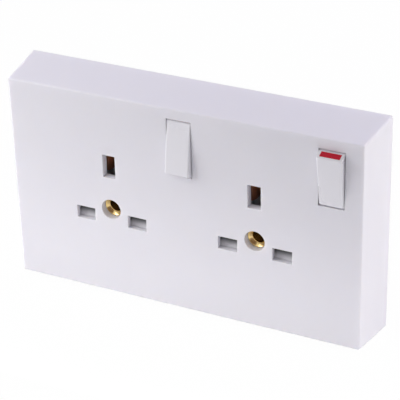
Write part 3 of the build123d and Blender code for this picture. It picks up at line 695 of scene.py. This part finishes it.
@dataclass
class ScrewSet:
    """One kind of screw, with a domed slotted head towards the wall and a thread, at several places.

    Attributes:
        node: The solids' node that the screws stand for.
        stem: The start of the pieces' names.
        places: The screws' middles, as (x, z).
        head_back: The rise of the head's far side, nearest the wall.
        head_front: The rise of the head's seat.
        tip: The rise of the screw's tip.
        head_radius: The head's radius.
        shank_radius: The radius over the thread.
        pitch: The thread's pitch.
        slot_width: The width of the driver's slot.
        slot_depth: Its depth.
        thread: The height of the thread's ridge.
        thread_sides: How many sides the ridge's wire has.
        dome_share: The share of the head's height that is dome.
        dome_rings: The rings of the dome.
        head_edge: The size of the broken edge at the head's seat.
        tip_share: The tip's radius as a share of the core's.
        taper: The length of the tip's taper, as a share of the radius.
        around: How many points each ring has.
    """

    node: str
    stem: str
    places: tuple[tuple[float, float], ...]
    head_back: float
    head_front: float
    tip: float
    head_radius: float
    shank_radius: float
    pitch: float
    slot_width: float = 0.8 * MM
    slot_depth: float = 0.6 * MM
    thread: float = 0.22 * MM
    thread_sides: int = 4
    dome_share: float = 0.55
    dome_rings: int = 6
    head_edge: float = 0.1 * MM
    tip_share: float = 0.55
    taper: float = 0.45
    around: int = 64

    def profile(self) -> list[Ring]:
        """The screw's rings from its tip down the core, over the head's edge and its dome.

        Returns:
            The rings in order.
        """
        core = self.shank_radius - self.thread
        dome = (self.head_front - self.head_back) * self.dome_share
        edge = self.head_back + dome
        rings = [
            (core * self.tip_share, self.tip),
            (core, self.tip - core * self.taper),
            (core, self.head_front),
            (self.head_radius - self.head_edge, self.head_front),
            (self.head_radius, self.head_front - self.head_edge),
        ]
        for step in range(self.dome_rings):
            turn = math.pi / 2 * step / self.dome_rings
            rings.append((self.head_radius * math.cos(turn), edge - dome * math.sin(turn)))
        return rings

    def model(self) -> bpy.types.Object:
        """Model one screw at the origin.

        Returns:
            The screw, still built up along Z.
        """
        screw = turn_rings(f"{self.stem}_1", self.profile(), self.around, closed=False)
        self._cut_slot(screw)
        low = self.head_front + 2 * self.thread  # clear of the head
        turns = int((self.tip - low - self.shank_radius * self.taper) / self.pitch)
        ridge = wind_coil(f"{self.stem}_ridge", self.shank_radius - self.thread, self.thread, turns,
                          self.pitch, low, sides=self.thread_sides)
        pick(screw, ridge)
        bpy.ops.object.join()
        bpy.ops.object.shade_smooth_by_angle(angle=math.radians(SHARP_DEGREES))
        return screw

    def _cut_slot(self, screw: bpy.types.Object) -> None:
        """Cut the driver's slot across a head.

        Args:
            screw: The screw to cut.
        """
        start_afresh()
        bpy.ops.mesh.primitive_cube_add(size=1.0, location=(0.0, 0.0, self.head_back))
        cutter = bpy.context.object
        across = 3 * self.head_radius  # past both sides of the head
        cutter.scale = (across, self.slot_width, 2 * self.slot_depth)
        pick(screw)
        cut = screw.modifiers.new("slot", "BOOLEAN")
        cut.operation = "DIFFERENCE"
        cut.solver = "EXACT"
        cut.object = cutter
        bpy.ops.object.modifier_apply(modifier=cut.name)
        bpy.data.objects.remove(cutter)

    def build(self) -> list[bpy.types.Object]:
        """Model one screw, copy it to every place and dress all of them.

        Returns:
            The pieces.
        """
        plating = PLATED_SCREW.material()
        first = self.model()
        start_x, start_z = self.places[0]
        set_place(first, (start_x, 0.0, start_z))
        pieces = [first]
        for count, (x, z) in enumerate(self.places[1:], start=2):
            shift = Vector((x - start_x, 0.0, z - start_z))
            pieces.append(copy_piece(first, f"{self.stem}_{count}", shift))
        for piece in pieces:
            coat(piece, plating)
            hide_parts(self.node)
            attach(piece, "housing")
        return pieces


def dress_nodes(dressed: dict[str, Finish]) -> list[str]:
    """Put a finish on each named solid, one material for each finish.

    Args:
        dressed: The finish of each node.

    Returns:
        The nodes' names.
    """
    made = {finish: finish.material() for finish in dict.fromkeys(dressed.values())}
    for node, finish in dressed.items():
        coat(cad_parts[node], made[finish])
    return list(dressed)


@dataclass
class Mouldings:
    """The moulded pieces, whose solids keep their shape and get their finish."""

    def dress(self) -> list[str]:
        """Dress the housing, base, rockers, flashes, shutters and plungers.

        Returns:
            The names of the dressed nodes.
        """
        dressed = {"front_housing": WHITE_MOULDING, "rear_base": BASE_MOULDING}
        for side in SIDES:
            dressed[f"{side}_rocker"] = ROCKER_MOULDING
            dressed[f"{side}_on_flash"] = RED_FLASH
            dressed[f"{side}_shutter"] = SHUTTER_MOULDING
            dressed[f"{side}_plunger"] = PLUNGER_NYLON
        return dress_nodes(dressed)


@dataclass
class BrassWork:
    """The strips, clips, contacts and terminals, whose solids keep their shape and get their finish."""

    def dress(self) -> list[str]:
        """Dress the rolled strips and the machined terminals.

        Returns:
            The names of the dressed nodes.
        """
        rolled = ["earth_strap", "neutral_bar", "line_feed_bar"]
        for side in SIDES:
            rolled += [f"{side}_line_clip", f"{side}_rocking_contact"]
        dressed = {node: CONTACT_BRASS for node in rolled}
        for wire in ("line", "earth", "neutral"):
            dressed[f"{wire}_terminal"] = TERMINAL_BRASS
        return dress_nodes(dressed)


@dataclass(frozen=True)
class Lamp:
    """A soft lamp with a rectangular face.

    Attributes:
        name: Its name.
        place: Where it stands.
        aim: The point that it looks at.
        size: Its width and height.
        power: Its power in watts.
        colour: The colour of its light.
        glossy: Whether it shows in gloss.
    """

    name: str
    place: Point
    aim: Point
    size: tuple[float, float]
    power: float
    colour: Colour = WHITE
    glossy: bool = True

    def hang(self) -> None:
        """Add the lamp to the scene."""
        light = bpy.data.lights.new(self.name, "AREA")
        light.shape = "RECTANGLE"
        light.size, light.size_y = self.size
        light.energy = self.power
        light.color = self.colour
        lamp = bpy.data.objects.new(self.name, light)
        bpy.context.scene.collection.objects.link(lamp)
        lamp.visible_camera = False
        lamp.visible_glossy = self.glossy
        lamp.location = self.place
        lamp.rotation_euler = (Vector(self.aim) - Vector(self.place)).to_track_quat("-Z", "Y").to_euler()


@dataclass
class Studio:
    """The camera at the photograph's angle, the pale floor, the dark screen, the world and the lamps.

    Attributes:
        camera_place: Where the camera stands.
        look: The direction that it looks in.
        across: The direction that is to the right in its picture.
        lens: Its focal length in millimetres.
        sensor: Its sensor's width in millimetres.
        floor_half: From the floor's middle to its edges.
        floor_colour: The floor's own colour.
        floor_roughness: The floor's roughness.
        floor_glow: The share of the floor that is plain white to the eye.
        dark_place: Where the dark screen's middle stands.
        dark_size: The dark screen's width and height.
        dark_colour: The colour of its faint glow.
        dark_glow: The strength of its faint glow.
        sky: The colour of the world's light.
        sky_strength: The strength of the world's light.
        lamps: The lamps.
    """

    camera_place: Point = (0.25508, -0.51155, 0.31402)
    look: Point = (-0.394919, 0.782112, -0.482017)
    across: Point = (0.898285, 0.438755, -0.024054)
    lens: float = 151.82
    sensor: float = 36.0
    floor_half: float = 3.0
    floor_colour: Colour = (0.86, 0.86, 0.87)
    floor_roughness: float = 0.9
    floor_glow: float = 0.985
    dark_place: Point = (0.72, -0.86, 0.65)
    dark_size: float = 1.6
    dark_colour: Colour = (1.0, 0.72, 0.64)
    dark_glow: float = 0.2
    sky: Colour = WHITE
    sky_strength: float = 0.1
    lamps: tuple[Lamp, ...] = (
        Lamp("left_edge", place=(-0.40, -0.10, 0.06), aim=FACE_MIDDLE, size=(0.15, 0.15), power=0.36),
        Lamp("left_up", place=(-0.34, -0.22, 0.30), aim=FACE_MIDDLE, size=(0.26, 0.26), power=0.85),
        Lamp("left_near", place=(-0.25, -0.22, 0.16), aim=FACE_MIDDLE, size=(0.08, 0.08), power=0.14),
        Lamp("front_top", place=(-0.12, -0.34, 0.68), aim=FACE_MIDDLE, size=(0.35, 0.35), power=0.72,
             glossy=False),
        Lamp("right_front", place=(0.40, -0.45, 0.42), aim=(0.0, -0.02, 0.0), size=(0.30, 0.30), power=0.47,
             glossy=False),
        Lamp("right_side", place=(0.52, 0.12, 0.08), aim=(0.07, 0.0, 0.0), size=(0.30, 0.30), power=1.53,
             colour=(1.0, 0.985, 0.965)),
        Lamp("overhead", place=(0.10, 0.32, 0.44), aim=(0.0, -0.01, 0.04), size=(0.35, 0.35), power=1.23,
             colour=(0.82, 0.78, 1.0)),
        Lamp("low_strip", place=(0.0, -0.085, -0.032), aim=(0.0, -0.022, -0.039), size=(0.26, 0.012),
             power=0.026, glossy=False),
    )

    def set_up(self) -> None:
        """Place everything and set plain view settings."""
        bpy.context.scene.view_settings.view_transform = "Standard"
        self._camera()
        self._floor()
        self._dark_front()
        self._world()
        for lamp in self.lamps:
            lamp.hang()

    def _camera(self) -> None:
        """Add the camera, turned by its own look and across directions."""
        data = bpy.data.cameras.new("camera")
        data.lens = self.lens
        data.sensor_width = self.sensor
        camera = bpy.data.objects.new("camera", data)
        bpy.context.scene.collection.objects.link(camera)
        look, across = Vector(self.look).normalized(), Vector(self.across).normalized()
        up = across.cross(look).normalized()
        turn = Matrix((across, up, -look)).transposed()
        camera.matrix_world = Matrix.Translation(self.camera_place) @ turn.to_4x4()
        bpy.context.scene.camera = camera

    def _floor(self) -> None:
        """Lay the floor under the plate's lower edge, white to the eye and open to shadows."""
        start_afresh()
        level = CAD_BOX[0][2]
        bpy.ops.mesh.primitive_plane_add(size=2 * self.floor_half, location=(0.0, 0.0, level))
        floor = name_piece("floor")
        made = bpy.data.materials.new("floor")
        made.use_nodes = True
        nodes, links = made.node_tree.nodes, made.node_tree.links
        plain = nodes["Principled BSDF"]
        plain.inputs["Base Color"].default_value = (*self.floor_colour, 1.0)
        plain.inputs["Roughness"].default_value = self.floor_roughness
        glow = nodes.new("ShaderNodeEmission")
        seen = self._seen(made.node_tree)
        share = nodes.new("ShaderNodeMath")
        share.operation = "MULTIPLY"
        share.inputs[1].default_value = self.floor_glow
        links.new(seen, share.inputs[0])
        blend = nodes.new("ShaderNodeMixShader")
        links.new(share.outputs["Value"], blend.inputs["Fac"])
        links.new(plain.outputs["BSDF"], blend.inputs[1])
        links.new(glow.outputs["Emission"], blend.inputs[2])
        links.new(blend.outputs["Shader"], nodes["Material Output"].inputs["Surface"])
        coat(floor, made)

    def _dark_front(self) -> None:
        """Stand a dark warm screen behind the camera, which shows in gloss alone, as a room would."""
        start_afresh()
        turn = Vector(self.dark_place).to_track_quat("Z", "Y").to_euler()
        bpy.ops.mesh.primitive_plane_add(size=self.dark_size, location=self.dark_place, rotation=turn)
        screen = name_piece("dark_front")
        made = bpy.data.materials.new("dark_front")
        made.use_nodes = True
        nodes, links = made.node_tree.nodes, made.node_tree.links
        glow = nodes.new("ShaderNodeEmission")
        glow.inputs["Color"].default_value = (*self.dark_colour, 1.0)
        glow.inputs["Strength"].default_value = self.dark_glow
        links.new(glow.outputs["Emission"], nodes["Material Output"].inputs["Surface"])
        coat(screen, made)
        screen.visible_camera = False
        screen.visible_diffuse = False
        screen.visible_transmission = False
        screen.visible_shadow = False

    def _seen(self, tree: bpy.types.NodeTree) -> bpy.types.NodeSocket:
        """Add a switch that is 1 for what the eye sees directly, in gloss or through a clear piece.

        Args:
            tree: The node tree that needs it.

        Returns:
            The switch's socket.
        """
        path = tree.nodes.new("ShaderNodeLightPath")
        first = tree.nodes.new("ShaderNodeMath")
        first.operation = "MAXIMUM"
        tree.links.new(path.outputs["Is Camera Ray"], first.inputs[0])
        tree.links.new(path.outputs["Is Glossy Ray"], first.inputs[1])
        second = tree.nodes.new("ShaderNodeMath")
        second.operation = "MAXIMUM"
        tree.links.new(first.outputs["Value"], second.inputs[0])
        tree.links.new(path.outputs["Is Transmission Ray"], second.inputs[1])
        return second.outputs["Value"]

    def _world(self) -> None:
        """Make the world white to the eye and a soft even light to the object."""
        world = bpy.data.worlds.new("studio")
        bpy.context.scene.world = world
        world.use_nodes = True
        nodes, links = world.node_tree.nodes, world.node_tree.links
        soft = nodes["Background"]
        soft.inputs["Color"].default_value = (*self.sky, 1.0)
        soft.inputs["Strength"].default_value = self.sky_strength
        white = nodes.new("ShaderNodeBackground")
        white.inputs["Color"].default_value = (*WHITE, 1.0)
        blend = nodes.new("ShaderNodeMixShader")
        links.new(self._seen(world.node_tree), blend.inputs["Fac"])
        links.new(soft.outputs["Background"], blend.inputs[1])
        links.new(white.outputs["Background"], blend.inputs[2])
        links.new(blend.outputs["Shader"], nodes["World Output"].inputs["Surface"])


BASE_SCREWS = ScrewSet(
    node="base_screws", stem="base_screw",
    places=((-64.0 * MM, 5.42 * MM), (64.0 * MM, 5.42 * MM)),
    head_back=0.2 * MM, head_front=1.4 * MM, tip=10.4 * MM, head_radius=2.8 * MM, shank_radius=1.4 * MM,
    pitch=1.1 * MM,
)
TERMINAL_SCREWS = ScrewSet(
    node="terminal_screws", stem="terminal_screw",
    places=((16.0 * MM, 28.0 * MM), (-8.0 * MM, 18.36 * MM), (2.0 * MM, -11.0 * MM)),
    head_back=-8.2 * MM, head_front=-6.6 * MM, tip=-2.2 * MM, head_radius=2.9 * MM, shank_radius=1.7 * MM,
    pitch=0.6 * MM,
)


def main() -> None:
    """Build and dress every piece in order, then set up the studio."""
    logging.basicConfig(level=logging.INFO, format="%(name)s: %(message)s")
    for work in (Mouldings(), BrassWork()):
        for node in work.dress():
            LOG.info("dressed %s", node)
    for work in (FixingEyelets(), Springs(), BASE_SCREWS, TERMINAL_SCREWS):
        for piece in work.build():
            LOG.info("built %s with %d faces", piece.name, len(piece.data.polygons))
    start_afresh()
    Studio().set_up()


if __name__ == "__main__":
    main()
